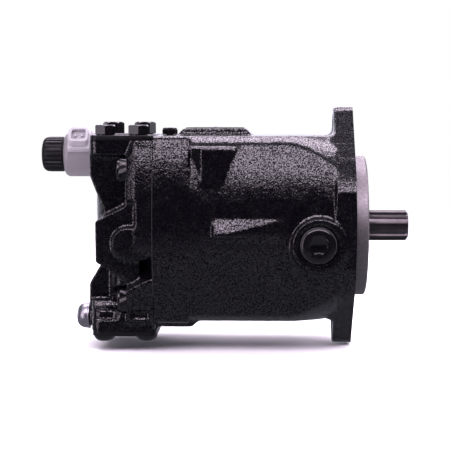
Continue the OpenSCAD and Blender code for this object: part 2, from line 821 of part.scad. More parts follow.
module b_port_cover() {
  color([0.1, 0.1, 0.11]) translate([-b_port_x, 0, b_face_z])
    port_cover(b_span_x, b_span_y, b_pad_x[1] - b_pad_x[0] - 1, 72, b_cover_t);
}

// The pair on the far side has the taller heads
module b_port_screws() {
  color([0.12, 0.12, 0.13]) translate([-b_port_x, 0, b_face_z + b_cover_t])
    for (x = [-0.5, 0.5]) for (y = [-0.5, 0.5]) translate([x * b_span_x, y * b_span_y, 0])
      rotate([0, 0, y > 0 ? 30 : 8]) hex_screw(14, y > 0 ? 9.4 : 7.3, 4.9, 16);
}

module s_port_cover() {
  color([0.1, 0.1, 0.11]) translate([-s_port_x, 0, s_face_z]) rotate([180, 0, 0])
    port_cover(s_span_x, s_span_y, 46, 80, s_cover_t);
}

module s_port_screws() {
  color([0.12, 0.12, 0.13]) translate([-s_port_x, 0, s_face_z - s_cover_t]) rotate([180, 0, 0])
    at_corners(s_span_x, s_span_y) button_screw(7.8, 4.6, 4.9, 16, 6);
}

// Threaded plug with a flange and a hexagon socket, pointing along +Z
module flange_plug(flange_r, flange_h, shank_r, shank_len, socket_af) {
  difference() {
    union() {
      cylinder(h = flange_h - 0.8, r = flange_r);
      translate([0, 0, flange_h - 0.8]) cylinder(h = 0.8, r1 = flange_r, r2 = flange_r - 0.8);
      translate([0, 0, -shank_len]) cylinder(h = shank_len + eps, r = shank_r);
    }
    translate([0, 0, flange_h - 4.5]) cylinder(h = 6, r = socket_af / sqrt(3), $fn = 6);
  }
}

module drain_plug() {
  color([0.1, 0.1, 0.11]) at_drain(0) translate([0, -drain_seat_y - 1.5, 0]) rotate([90, 0, 0])
    flange_plug(11.9, 3.4, plug_r - fit, 13, 10);
}

module drain_plug_seal() {
  color([0.16, 0.16, 0.17]) at_drain(0) difference() {
    rod_y(-drain_seat_y - 1.5, -drain_seat_y, 12.6);
    rod_y(-drain_seat_y - 3, -drain_seat_y + 2, plug_r + 0.2);
  }
}

module top_plug() {
  color([0.1, 0.1, 0.11]) translate([top_plug_x, 0, case_half_h + 0.6]) cap_screw(5.6, 5, 2.9, 8, 5);
}

// Zinc-plated cap with a domed end on the suction block's rear boss
module rear_cap_plug() {
  color([0.75, 0.75, 0.78]) translate([-191.5, -8, cap_z]) {
    rotate([0, -90, 0]) rotate_extrude() intersection() {
      translate([0, -4.6]) circle(r = 14.4);
      square([9.9, 20]);
    }
    rod_x(-eps, 9, 3.9);
  }
}

// ---- Control valve and solenoid ----

module on_spool() {
  translate([0, spool_y, spool_z]) children();
}

module control_valve_body() {
  color([0.07, 0.07, 0.08]) difference() {
    union() {
      block([valve_x[0], valve_y[0], valve_z[0]], [valve_x[1], valve_y[1], valve_z[1]]);
      on_spool() rod_x(valve_x[1] - 1, valve_x[1] + 2, 9);
    }
    on_spool() {
      rod_x(valve_x[0] - 1, valve_x[1] + 3, spool_r + eps);
      rod_x(valve_x[0] - 1, valve_x[0] + 8, tube_r);
      rod_x(-158, valve_x[1] + 3, 5.4);
    }
    for (x = valve_screw_x) for (z = valve_screw_z) translate([x, 0, z]) {
      rod_y(50, 90, 2.8);
      rod_y(valve_y[1] - 5.5, 90, 4.8);
    }
  }
}

module control_valve_screws() {
  color([0.5, 0.5, 0.52]) for (x = valve_screw_x) for (z = valve_screw_z)
    translate([x, valve_y[1] - 5.5, z]) rotate([-90, 0, 0]) cap_screw(4.4, 5, 2.5, 33, 4);
}

module control_spool() {
  color([0.8, 0.8, 0.82]) on_spool() {
    rod_x(-181, -176, spool_r);
    rod_x(-177, -169, 2.2);
    rod_x(-170, -164, spool_r);
    rod_x(-165, -156, 2.2);
  }
}

module valve_spring() {
  color([0.5, 0.5, 0.52]) on_spool() coil_spring(-156.5, -149.2, 3.6, 0.55, 4);
}

module pressure_adjuster() {
  color([0.6, 0.6, 0.62]) on_spool() difference() {
    rod_x(-149, -127, 5.2);
    rotate([0, 90, 0]) translate([0, 0, -130]) cylinder(h = 4, r = 5 / sqrt(3), $fn = 6);
  }
}

module adjuster_locknut() {
  color([0.55, 0.55, 0.57]) on_spool() translate([valve_x[1] + 2, 0, 0]) rotate([0, 90, 0]) difference() {
    cylinder(h = 6, r = 17 / sqrt(3), $fn = 6);
    translate([0, 0, -1]) cylinder(h = 8, r = 5.35);
  }
}

module solenoid_tube() {
  color([0.7, 0.7, 0.72]) on_spool() difference() {
    rod_x(can_x - nut_len + 4, valve_x[0] + 8, tube_r);
    rod_x(can_x + 3, valve_x[0] - 4, armature_r + fit);
    rod_x(can_x + 3, valve_x[0] + 9, 2.2);
  }
}

module armature() {
  color([0.6, 0.6, 0.62]) on_spool() {
    rod_x(valve_x[0] - 22, valve_x[0] - 6, armature_r);
    rod_x(valve_x[0] - 7, -181.05, 1.8);
  }
}

module solenoid_coil() {
  color([0.72, 0.7, 0.75]) on_spool() rotate([0, 90, 0]) rotate_extrude() polygon([
    [tube_r + fit, can_x], [can_d / 2 - 4.5, can_x], [can_d / 2 - 1.8, can_x + 1], [can_d / 2, can_x + 4],
    [can_d / 2, valve_x[0] - 1], [tube_r + fit, valve_x[0] - 1]
  ]);
}

module solenoid_nut() {
  rib = 0.7;
  r = nut_d / 2 - rib;
  color([0.1, 0.1, 0.11]) on_spool() difference() {
    intersection() {
      along_x(can_x - nut_len, can_x - 0.1) union() {
        circle(r = r);
        for (i = [0:nut_ribs - 1]) rotate(i * 360 / nut_ribs) translate([r, 0]) circle(r = rib, $fn = 16);
      }
      rotate([0, 90, 0]) rotate_extrude() polygon([
        [0, can_x - nut_len], [r - 3.4, can_x - nut_len], [r - 0.9, can_x - nut_len + 1.4],
        [nut_d / 2, can_x - nut_len + 4.5], [nut_d / 2, can_x], [0, can_x]
      ]);
    }
    rod_x(can_x - nut_len + 3, can_x + 1, tube_r + fit);
  }
}

// Plug socket on the side of the coil, pointing to the near side and tilted up
module solenoid_connector() {
  color([0.78, 0.77, 0.8]) on_spool() translate([can_x + 13.5, 0, 0]) rotate([55, 0, 0]) difference() {
    union() {
      block([-9, -8.5, 12], [9, 8.5, 21]);
      translate([0, 0, 20.5]) linear_extrude(height = 7.5) round_rect(15, 13, 3);
    }
    translate([-13.5 - can_x, 0, 0]) rod_x(can_x - 5, can_x + 40, can_d / 2 + 0.02);
    difference() {
      translate([0, 0, 24.4]) linear_extrude(height = 5) round_rect(11, 9, 2);
      for (x = [-2.5, 2.5]) translate([x, 0, 20]) cylinder(h = 6.5, r = 1);
    }
  }
}

housing();
port_plate();
case_gasket();
port_plate_screws();
shaft_seal();
seal_circlip();
bearing_cups();
bearing_cones();
bearing_rollers();
valve_plate();
cradle_bearings();
drive_shaft();
cylinder_block();
retaining_ball();
pressure_pins();
centre_spring();
spring_washers();
swashplate();
retainer_plate();
for (i = [1:piston_count]) piston(i);
for (i = [1:piston_count]) slipper(i);
stroke_piston();
bias_piston();
bias_spring();
control_valve_body();
control_valve_screws();
control_spool();
valve_spring();
pressure_adjuster();
adjuster_locknut();
solenoid_tube();
armature();
solenoid_coil();
solenoid_nut();
solenoid_connector();
drain_plug();
drain_plug_seal();
top_plug();
rear_cap_plug();
b_port_cover();
b_port_screws();
s_port_cover();
s_port_screws();
name_plate();
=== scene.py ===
"""Axial piston pump: the looks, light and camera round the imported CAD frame.

Pieces are drawn in millimetres and scaled to metres as their mesh is made. The floor, lights and camera are placed
in metres.
"""

import math

import bmesh
import bpy
from mathutils import Matrix, Vector, noise


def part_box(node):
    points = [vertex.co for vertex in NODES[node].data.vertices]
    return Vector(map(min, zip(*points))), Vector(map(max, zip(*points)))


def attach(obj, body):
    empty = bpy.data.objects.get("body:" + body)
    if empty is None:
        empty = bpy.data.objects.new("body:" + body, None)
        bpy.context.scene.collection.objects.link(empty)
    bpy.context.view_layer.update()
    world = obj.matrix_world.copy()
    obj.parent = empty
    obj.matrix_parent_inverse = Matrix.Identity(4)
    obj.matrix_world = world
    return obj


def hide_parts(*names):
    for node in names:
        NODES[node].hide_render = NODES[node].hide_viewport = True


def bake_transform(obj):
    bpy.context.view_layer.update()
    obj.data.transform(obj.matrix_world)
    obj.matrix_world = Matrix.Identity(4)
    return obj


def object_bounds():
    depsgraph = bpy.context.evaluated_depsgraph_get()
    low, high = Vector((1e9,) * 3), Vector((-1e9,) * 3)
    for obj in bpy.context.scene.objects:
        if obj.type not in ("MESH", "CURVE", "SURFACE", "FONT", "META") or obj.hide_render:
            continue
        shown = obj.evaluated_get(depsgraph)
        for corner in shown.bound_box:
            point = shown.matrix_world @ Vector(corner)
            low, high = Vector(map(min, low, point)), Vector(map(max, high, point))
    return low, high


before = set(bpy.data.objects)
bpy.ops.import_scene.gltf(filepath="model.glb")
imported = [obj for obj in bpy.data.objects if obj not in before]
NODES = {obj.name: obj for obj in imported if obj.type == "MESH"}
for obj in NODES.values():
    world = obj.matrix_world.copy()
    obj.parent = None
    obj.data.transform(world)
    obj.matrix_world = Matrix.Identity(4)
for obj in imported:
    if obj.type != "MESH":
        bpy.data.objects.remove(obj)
CAD_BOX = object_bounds()
MM = 0.001
TAU = 2 * math.pi
# Points of a CAD mesh that are closer than this, in millimetres, are one point.
WELD = 0.002


# ---------------------------------------------------------------- materials

# A Mix node lists the sockets of every data type, and these are its colour ones.
MIX_A, MIX_B, MIX_RESULT = 6, 7, 2
# Blender's Pointiness is 0.5 on a flat. The painted edge highlight fades in between these.
EDGE_START, EDGE_END = 0.5 + 1 / 12, 0.7


class Shader:
    """A Principled material, with short ways to add procedural nodes."""

    def __init__(self, name, colour, roughness, metallic=0.0, **sockets):
        self.mat = bpy.data.materials.new(name)
        self.mat.use_nodes = True
        self.tree = self.mat.node_tree
        self.bsdf = self.tree.nodes["Principled BSDF"]
        self.bsdf.inputs["Base Color"].default_value = (*colour, 1)
        self.bsdf.inputs["Roughness"].default_value = roughness
        self.bsdf.inputs["Metallic"].default_value = metallic
        for key, value in sockets.items():
            self.bsdf.inputs[key.replace("_", " ")].default_value = value
        self.place = self.node("ShaderNodeTexCoord").outputs["Object"]
        self.normal = None

    def node(self, kind, **inputs):
        made = self.tree.nodes.new(kind)
        for key, value in inputs.items():
            self.put(made.inputs[key.replace("_", " ")], value)
        return made

    def put(self, socket, value):
        if isinstance(value, bpy.types.NodeSocket):
            self.tree.links.new(value, socket)
        else:
            socket.default_value = value

    def noise(self, size, detail=3.0, rough=0.55, stretch=None):
        """Noise whose lumps are about size millimetres across."""
        place = self.place
        if stretch:
            place = self.node("ShaderNodeMapping", Vector=place, Scale=stretch).outputs[0]
        made = self.node("ShaderNodeTexNoise", Vector=place, Scale=1 / (size * MM), Detail=detail,
                         Roughness=rough)
        return made.outputs["Fac"]

    def math(self, how, a, b):
        made = self.node("ShaderNodeMath")
        made.operation = how
        self.put(made.inputs[0], a)
        self.put(made.inputs[1], b)
        return made.outputs[0]

    def span(self, value, low, high, to_low, to_high):
        """value mapped from low..high to to_low..to_high, and clamped."""
        made = self.node("ShaderNodeMapRange", Value=value)
        for key, number in (("From Min", low), ("From Max", high), ("To Min", to_low), ("To Max", to_high)):
            made.inputs[key].default_value = number
        return made.outputs[0]

    def mix(self, factor, a, b):
        made = self.node("ShaderNodeMix")
        made.data_type = "RGBA"
        self.put(made.inputs[0], factor)
        for socket, value in ((made.inputs[MIX_A], a), (made.inputs[MIX_B], b)):
            self.put(socket, value if isinstance(value, bpy.types.NodeSocket) else (*value, 1))
        return made.outputs[MIX_RESULT]

    def rough(self, value):
        self.put(self.bsdf.inputs["Roughness"], value)

    def paint(self, value):
        self.put(self.bsdf.inputs["Base Color"], value)

    def bump(self, height, depth):
        """Adds a bump whose height runs from 0 to depth millimetres, on top of those before it."""
        made = self.node("ShaderNodeBump", Height=height, Distance=depth * MM, Strength=1.0)
        if self.normal:
            self.put(made.inputs["Normal"], self.normal)
        self.normal = made.outputs["Normal"]
        self.put(self.bsdf.inputs["Normal"], self.normal)

    def painted_edge_mask(self):
        """From 0 on flats to 1 on outer edges, where the paint is lightened as a painted highlight."""
        edge = self.node("ShaderNodeNewGeometry").outputs["Pointiness"]
        return self.span(edge, EDGE_START, EDGE_END, 0, 1)


def cast_paint(name, grain, gloss):
    """Gloss paint over a sand casting: fine pimples, pores that break the shine, dust, and outer edges lightened as
    a painted highlight.
    """
    s = Shader(name, (0.006, 0.0055, 0.007), gloss, Specular_IOR_Level=0.36)
    fine = s.noise(1.1, 1.0, 0.5)
    pimples = s.noise(2.6, 2.0, 0.5)
    slow = s.noise(14, 2.0)
    s.rough(s.span(s.noise(6, 4.0), 0.3, 0.75, gloss - 0.06, gloss + 0.12))
    plain = s.mix(slow, (0.0008, 0.0007, 0.0012), (0.0018, 0.0016, 0.0025))
    dusty = s.mix(s.span(fine, 0.56, 0.72, 0, 1), plain, (0.0045, 0.004, 0.006))
    pores = s.noise(0.9, 1.0, 0.5)
    s.put(s.bsdf.inputs["Specular IOR Level"], s.span(pores, 0.42, 0.6, 0.04, 0.72))
    # Painted highlight: the paint is lightened towards a grey along outer edges and broken up by noise. The edges
    # are not worn.
    painted_edge_highlight = s.math("MULTIPLY", s.painted_edge_mask(), s.noise(3, 3.0))
    s.paint(s.mix(painted_edge_highlight, dusty, (0.012, 0.011, 0.014)))
    s.bump(pimples, grain * 0.8)
    s.bump(fine, grain)
    return s.mat


def bare_metal(name, colour, roughness, grain=(1, 1, 1), depth=0.01, size=0.5, cloud_size=9):
    """Bare metal with the marks of its machining, which grain draws out where its three numbers differ."""
    s = Shader(name, colour, roughness, 1.0)
    marks = s.noise(size, 3.0, 0.6, grain)
    cloud = s.noise(cloud_size, 3.0)
    dark = tuple(c * 0.72 for c in colour)
    s.paint(s.mix(s.span(cloud, 0.3, 0.7, 0, 1), dark, colour))
    s.rough(s.span(marks, 0.25, 0.75, roughness - 0.07, roughness + 0.12))
    s.bump(marks, depth)
    return s.mat


def moulded(name, colour, roughness, size=0.35, depth=0.02, tint=0.8, **sockets):
    """Moulded plastic, rubber or paint with a fine even texture and a little handling."""
    s = Shader(name, colour, roughness, **sockets)
    cloud = s.noise(11, 3.0)
    fine = s.noise(size, 2.0)
    s.paint(s.mix(s.span(cloud, 0.3, 0.7, 0, 1), tuple(c * tint for c in colour), colour))
    s.rough(s.span(s.noise(2.5, 4.0), 0.3, 0.7, roughness - 0.05, roughness + 0.1))
    s.bump(fine, depth)
    return s.mat


MATERIALS = {
    "casting_paint": cast_paint("casting_paint", grain=0.13, gloss=0.13),
    "machined_iron": bare_metal("machined_iron", (0.25, 0.232, 0.24), 0.5, grain=(1.6, 0.8, 0.8), depth=0.07,
                                size=1.1, cloud_size=1.8),
    "shaft_steel": bare_metal("shaft_steel", (0.10, 0.09, 0.095), 0.32, grain=(0.15, 3, 3)),
    "bearing_steel": bare_metal("bearing_steel", (0.66, 0.66, 0.69), 0.2, grain=(4, 0.5, 0.5), depth=0.003),
    "bronze": bare_metal("bronze", (0.62, 0.42, 0.18), 0.3, grain=(3, 0.5, 0.5), depth=0.005),
    "black_screw": moulded("black_screw", (0.0022, 0.002, 0.003), 0.14, size=0.7, depth=0.015,
                           Specular_IOR_Level=0.45),
    "black_plastic": moulded("black_plastic", (0.004, 0.0036, 0.0052), 0.36, Specular_IOR_Level=0.2),
    "seal_rubber": moulded("seal_rubber", (0.02, 0.019, 0.022), 0.55, size=0.3, depth=0.03),
    "gasket": moulded("gasket", (0.004, 0.004, 0.005), 0.8, size=0.4, depth=0.05),
    "zinc": bare_metal("zinc", (0.36, 0.35, 0.38), 0.3, depth=0.006),
    "coil_can": moulded("coil_can", (0.15, 0.142, 0.15), 0.34, size=0.5, depth=0.012, tint=0.93),
    "connector_grey": moulded("connector_grey", (0.29, 0.28, 0.30), 0.45, size=0.5, depth=0.015, tint=0.95),
    "spring_steel": bare_metal("spring_steel", (0.45, 0.45, 0.48), 0.28, depth=0.004),
    "plate_black": moulded("plate_black", (0.02, 0.019, 0.022), 0.3, size=0.4, depth=0.01),
}

SLOTS = {
    "casting_paint": ["housing", "port_plate", "control_valve_body"],
    "machined_iron": ["swashplate", "retainer_plate"],
    "shaft_steel": ["drive_shaft"],
    "bearing_steel": ["bearing_cups", "bearing_cones", "bearing_rollers", "valve_plate", "stroke_piston",
                      "bias_piston", "control_spool", "retaining_ball", "pressure_pins"]
                     + [f"piston_{i}" for i in range(1, 10)],
    "bronze": ["cylinder_block", "cradle_bearings"] + [f"slipper_{i}" for i in range(1, 10)],
    "black_screw": ["port_plate_screws", "drain_plug", "top_plug", "b_port_screws", "s_port_screws"],
    "black_plastic": ["solenoid_nut", "b_port_cover", "s_port_cover"],
    "seal_rubber": ["shaft_seal", "drain_plug_seal"],
    "gasket": ["case_gasket"],
    "zinc": ["rear_cap_plug", "control_valve_screws", "adjuster_locknut", "pressure_adjuster"],
    "coil_can": ["solenoid_coil"],
    "connector_grey": ["solenoid_connector"],
    "spring_steel": ["seal_circlip", "centre_spring", "spring_washers", "bias_spring", "valve_spring",
                     "solenoid_tube", "armature"],
    "plate_black": ["name_plate"],
}


def finish(obj, slot):
    obj.data.materials.clear()
    obj.data.materials.append(MATERIALS[slot])


# ---------------------------------------------------------------- mesh helpers

def new_object(name, bm, sharp=38):
    """An object made from a bmesh, shaded smooth but for edges of more than sharp degrees."""
    mesh = bpy.data.meshes.new(name)
    bm.to_mesh(mesh)
    bm.free()
    mesh.polygons.foreach_set("use_smooth", [True] * len(mesh.polygons))
    mesh.set_sharp_from_angle(angle=math.radians(sharp))
    obj = bpy.data.objects.new(name, mesh)
    bpy.context.scene.collection.objects.link(obj)
    return obj


def stand_in(obj, body, slot, *nodes):
    """obj takes the place of these CAD nodes, on this body and in this slot's material."""
    finish(obj, slot)
    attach(obj, body)
    if nodes:
        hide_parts(*nodes)


def welded(node):
    """The node's mesh as a bmesh with its split edges joined again, in millimetres."""
    bm = bmesh.new()
    bm.from_mesh(NODES[node].data)
    bmesh.ops.scale(bm, vec=(1 / MM, 1 / MM, 1 / MM), verts=bm.verts)
    bmesh.ops.remove_doubles(bm, verts=bm.verts, dist=WELD)
    return bm


def solid_boxes(node):
    """The lowest and highest corner of each separate solid of a node, in millimetres."""
    bm = welded(node)
    bm.verts.ensure_lookup_table()
    seen, boxes = set(), []
    for start in bm.verts:
        if start.index in seen:
            continue
        seen.add(start.index)
        todo, found = [start], []
        while todo:
            v = todo.pop()
            found.append(v.co.copy())
            for e in v.link_edges:
                other = e.other_vert(v)
                if other.index not in seen:
                    seen.add(other.index)
                    todo.append(other)
        boxes.append((Vector(map(min, *found)), Vector(map(max, *found))))
    bm.free()
    return sorted(boxes, key=lambda b: tuple(b[0]))


def evaluated_mesh(obj):
    """A new mesh with obj's modifiers applied."""
    graph = bpy.context.evaluated_depsgraph_get()
    return bpy.data.meshes.new_from_object(obj.evaluated_get(graph), depsgraph=graph)


def ring_faces(bm, one, two):
    """A band of four-sided faces between two closed rings of as many vertices."""
    for k in range(len(one)):
        n = (k + 1) % len(one)
        bm.faces.new((one[k], one[n], two[n], two[k]))


# ---------------------------------------------------------------- castings

# Edge of the cubes that a casting is remeshed into.
VOXEL = 1.0
# Metal added to a milled face before remeshing, and cut off again after it.
STOCK = 3.0
# How close to a milled plane a point counts as on it.
ON_PLANE = 0.02
# The uneven skin: size and height of its slow waves and of its fine ones.
WAVE, WAVE_HEIGHT = 14.0, 0.10
PIT, PIT_HEIGHT = 2.4, 0.06

# Where the housing is bored. The stroking and bias pistons have their pockets above and below the shaft, on opposite
# sides of it.
CAVITY_R, CAVITY_FRONT = 54, -15
SHAFT_BORE_R = 24
SERVO_LOW, SERVO_HIGH, SERVO_HALF_WIDTH, SERVO_REAR = 38, 60.5, 33.5, -150
# Where the port plate carries the valve plate and the rear bearing.
VALVE_FACE_R, BEARING_REAR = 40, -156


def cut_flat(bm, axis, at, side):
    """Mills everything beyond a plane away, and closes the cut with one flat face."""
    normal, point = Vector(), Vector()
    normal[axis] = side
    point[axis] = at
    geom = bm.verts[:] + bm.edges[:] + bm.faces[:]
    cut = bmesh.ops.bisect_plane(bm, geom=geom, dist=1e-4, plane_co=point, plane_no=normal, clear_outer=True)
    edges = [e for e in cut["geom_cut"] if isinstance(e, bmesh.types.BMEdge) and e.is_boundary]
    made = bmesh.ops.triangle_fill(bm, use_beauty=True, edges=edges, normal=normal)
    for f in made["geom"]:
        if isinstance(f, bmesh.types.BMFace) and f.normal.dot(normal) < 0:
            f.normal_flip()


def cast(node, name, milled, inner, smooth):
    """A casting made from a CAD node: softened edges and uneven skin, with its milled faces cut flat again.

    milled lists (axis, place, side, test) planes, where test picks the points that are milled. inner says where the
    casting is bored, so that neither the softening nor the skin touches it. smooth is how often it is softened.
    """
    bm = welded(node)
    for axis, at, side, test in milled:
        for v in bm.verts:
            if abs(v.co[axis] - at) < ON_PLANE and test(v.co):
                v.co[axis] += side * STOCK
    rough = new_object(name + "_rough", bm)
    remesh = rough.modifiers.new("remesh", "REMESH")
    remesh.mode = "VOXEL"
    remesh.voxel_size = VOXEL
    mesh = evaluated_mesh(rough)
    bpy.data.objects.remove(rough)
    bm = bmesh.new()
    bm.from_mesh(mesh)
    bm.verts.ensure_lookup_table()
    free = [v for v in bm.verts if not inner(v.co)]
    for _ in range(smooth):
        bmesh.ops.smooth_vert(bm, verts=free, factor=0.5, use_axis_x=True, use_axis_y=True, use_axis_z=True)
    bm.normal_update()
    for v in free:
        wave = noise.noise(v.co / WAVE) * WAVE_HEIGHT + noise.noise(v.co / PIT) * PIT_HEIGHT
        v.co += v.normal * (wave - PIT_HEIGHT)
    for axis, at, side, _ in milled:
        cut_flat(bm, axis, at, side)
    bmesh.ops.scale(bm, vec=(MM, MM, MM), verts=bm.verts)
    stand_in(new_object(name, bm, 42), "case", "casting_paint", node)


def from_axis(p):
    """How far a point is from the shaft's axis."""
    return math.hypot(p.y, p.z)


def inside_housing(p):
    cavity = from_axis(p) < CAVITY_R and p.x < CAVITY_FRONT
    servo = (SERVO_LOW < abs(p.z) < SERVO_HIGH and abs(p.y) < SERVO_HALF_WIDTH and p.y * p.z < 0
             and p.x > SERVO_REAR)
    return cavity or servo or from_axis(p) < SHAFT_BORE_R


def inside_port_plate(p):
    return from_axis(p) < VALVE_FACE_R and p.x > BEARING_REAR


def anywhere(p):
    return True


def make_castings():
    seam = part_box("housing")[0].x / MM
    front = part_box("port_plate")[1].x / MM
    pad_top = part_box("b_port_cover")[0].z / MM
    pad_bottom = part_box("s_port_cover")[1].z / MM
    cast("housing", "housing_casting", [
        (0, 0.0, 1, lambda p: from_axis(p) > 20),
        (0, seam, -1, anywhere),
    ], inside_housing, 9)
    cast("port_plate", "port_plate_casting", [
        (0, front, 1, anywhere),
        (2, pad_top, 1, lambda p: p.x < seam),
        (2, pad_bottom, -1, lambda p: p.x < seam),
    ], inside_port_plate, 6)


def lathe(name, profile, steps=160, sharp=30):
    """A solid turned about X from a closed profile of (x, radius) points in millimetres."""
    bm = bmesh.new()
    rings = []
    for x, r in profile:
        rings.append([bm.verts.new((x * MM, r * MM * math.cos(a), r * MM * math.sin(a)))
                      for a in (TAU * k / steps for k in range(steps))])
    for one, two in zip(rings, rings[1:] + rings[:1]):
        ring_faces(bm, one, two)
    bmesh.ops.recalc_face_normals(bm, faces=bm.faces)
    return new_object(name, bm, sharp)


def make_pilot_ring():
    """The machined pilot in front of the flange. It starts just inside the casting's milled face."""
    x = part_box("housing")[1].x / MM
    r = 50.8
    ring = lathe("pilot_ring", [
        (-0.6, 42), (-0.6, r - 1.2), (0.5, r - 1.2), (1.1, r), (x - 1.2, r), (x - 0.2, r - 0.9), (x, r - 1.5),
        (x, 44.5), (x - 0.8, 44.2), (x - 1.2, 43.6), (x - 1.2, 24.2), (x - 1.8, 22.6), (x - 1.8, 21.3), (x - 3, 21),
        (0.5, 21), (-0.6, 21),
    ])
    stand_in(ring, "case", "machined_iron")


make_castings()
make_pilot_ring()


# ---------------------------------------------------------------- turned and moulded pieces

STEPS = 120
THREAD_PITCH = 1.25


def loft(rings, steps=STEPS):
    """A closed solid along Z through rings of (z, radius), where a radius may be a function of the angle."""
    bm = bmesh.new()
    loops = []
    for z, radius in rings:
        loop = []
        for k in range(steps):
            a = TAU * k / steps
            r = radius(a) if callable(radius) else radius
            loop.append(bm.verts.new((r * math.cos(a), r * math.sin(a), z)))
        loops.append(loop)
    for one, two in zip(loops, loops[1:]):
        ring_faces(bm, one, two)
    for loop, turned in ((loops[0], True), (loops[-1], False)):
        middle = bm.verts.new((0, 0, loop[0].co.z))
        for k in range(steps):
            n = (k + 1) % steps
            pair = (loop[n], loop[k]) if turned else (loop[k], loop[n])
            bm.faces.new((*pair, middle))
    return bm


def hexagon(flats, turn=0.0):
    """Radius of a hexagon at an angle, from its width across flats."""
    return lambda a: flats / 2 / math.cos((a - turn) % (TAU / 6) - TAU / 12)


def knurl(radius, depth=0.22):
    """Radius of a knurled rim, which goes in at every second step."""
    return lambda a: radius - depth * (round(a / TAU * STEPS) % 2)


def socket_rings(top, mouth, flats, depth):
    """From a screw's top face down into its hexagon socket."""
    corner = flats / math.sqrt(3)
    return [(top, mouth), (top, corner + 0.35), (top - 0.35, hexagon(flats)), (top - depth, hexagon(flats)),
            (top - depth - 0.4, flats * 0.36), (top - depth - 1.0, 0.4)]


def shank_rings(radius, length):
    """A shank below z = 0 with ridges like a thread's. They run straight round, not along a helix."""
    rings = [(-length, radius - 1.0)]
    z = -length + 0.8
    while z < -1.6:
        rings += [(z, radius - 0.55), (z + 0.6, radius)]
        z += THREAD_PITCH
    return rings + [(-0.6, radius - 0.3), (0, radius - 0.3)]


def cap_head(r, h, flats):
    """A socket cap screw's knurled head."""
    side = [(0, r - 0.5), (0.35, r - 0.12), (0.7, knurl(r)), (h - 1.9, knurl(r)), (h - 1.6, r - 0.3),
            (h - 0.75, r - 0.3), (h - 0.25, r - 0.65)]
    return side + socket_rings(h, r - 1.15, flats, h * 0.5)


def button_head(r, h, flats):
    """A low domed head with a hexagon socket."""
    dome = [(h * math.sin(t), r * (0.42 + 0.58 * math.cos(t))) for t in (0.18, 0.45, 0.75, 1.05, 1.3)]
    return [(0, r - 0.25), (0.25, r)] + dome + socket_rings(h, r * 0.5, flats, h * 0.55)


def hex_head(flats, h, turn):
    """A hexagon head whose corners are turned off by a cone, with a washer face under it."""
    flat = hexagon(flats, turn)
    rings = [(0, flats * 0.47), (0.5, flats * 0.47), (0.55, lambda a: flat(a) - 0.25), (0.8, flat)]
    for k in range(7):
        z = h - 1.2 + 0.2 * k
        limit = flats / math.sqrt(3) * 1.02 - 0.24 * k * 1.1
        rings.append((z, lambda a, limit=limit: min(flat(a), limit)))
    return rings + [(h, flats * 0.44), (h - 0.12, flats * 0.4), (h - 0.18, 1.0)]


def place_on(bm, at, way):
    """Turns a piece's +Z to way, and moves its origin to at, both in millimetres, and scales it to metres."""
    turn = Vector((0, 0, 1)).rotation_difference(Vector(way)).to_matrix().to_4x4()
    bmesh.ops.transform(bm, matrix=Matrix.Scale(MM, 4) @ Matrix.Translation(at) @ turn, verts=bm.verts)
    return bm


def joined(name, parts):
    """One object of several bmeshes."""
    whole = bmesh.new()
    for part in parts:
        mesh = bpy.data.meshes.new("part")
        part.to_mesh(mesh)
        part.free()
        whole.from_mesh(mesh)
        bpy.data.meshes.remove(mesh)
    return new_object(name, whole, 32)


def screws(node, name, way, head_h, shank_r, head, slot="black_screw"):
    """Detailed screws in the places of a node's separate solids. way is where their heads point.

    head_h is the head's height, or a function of a solid's box. head gives its rings from radius, height and place.
    """
    axis = max(range(3), key=lambda k: abs(way[k]))
    made = []
    for low, high in solid_boxes(node):
        top = high[axis] if way[axis] > 0 else low[axis]
        tail = low[axis] if way[axis] > 0 else high[axis]
        tall = head_h(low, high) if callable(head_h) else head_h
        seat = (low + high) / 2
        seat[axis] = top - way[axis] * tall
        radius = min(high[k] - low[k] for k in range(3) if k != axis) / 2
        rings = shank_rings(shank_r, abs(seat[axis] - tail)) + head(radius, tall, seat)
        made.append(place_on(loft(rings), seat, way))
    stand_in(joined(name, made), "case", slot, node)


def make_screws():
    screws("port_plate_screws", "main_screws", (-1, 0, 0), 12, 5.95, lambda r, h, at: cap_head(r, h, 10))
    screws("s_port_screws", "suction_cover_screws", (0, 0, -1), 4.6, 4.9, lambda r, h, at: button_head(r, h, 6))
    screws("control_valve_screws", "valve_screws", (0, 1, 0), 5, 2.5, lambda r, h, at: cap_head(r, h, 4), "zinc")
    screws("top_plug", "top_plug_screw", (0, 0, 1), 5, 2.9, lambda r, h, at: cap_head(r, h, 5))
    cover_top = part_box("b_port_cover")[1].z / MM - 0.95
    near_turn = math.radians(38)
    screws("b_port_screws", "pressure_cover_screws", (0, 0, 1), lambda low, high: high.z - cover_top, 4.9,
           lambda r, h, at: hex_head(14, h, 0.0 if at.y > 0 else near_turn))


def box_mm(node):
    """A node's lowest and highest corner in millimetres."""
    return (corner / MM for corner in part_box(node))


def make_drain_plug():
    """A flanged plug with a hexagon socket and a turned groove in its face."""
    low, high = box_mm("drain_plug")
    middle = (low + high) / 2
    r = (high.x - low.x) / 2
    h = 3.4
    rings = shank_rings(8.15, 13) + [
        (0, r - 0.3), (0.3, r), (h - 1.1, r), (h - 0.5, r - 0.25), (h - 0.1, r - 0.9), (h, r - 1.4), (h, 8.3),
        (h - 0.35, 8.0), (h - 0.35, 7.4)] + socket_rings(h - 0.1, 7.1, 10, 5.0)
    plug = place_on(loft(rings), Vector((middle.x, low.y + h, middle.z)), (0, -1, 0))
    stand_in(joined("drain_plug_turned", [plug]), "case", "black_screw", "drain_plug")


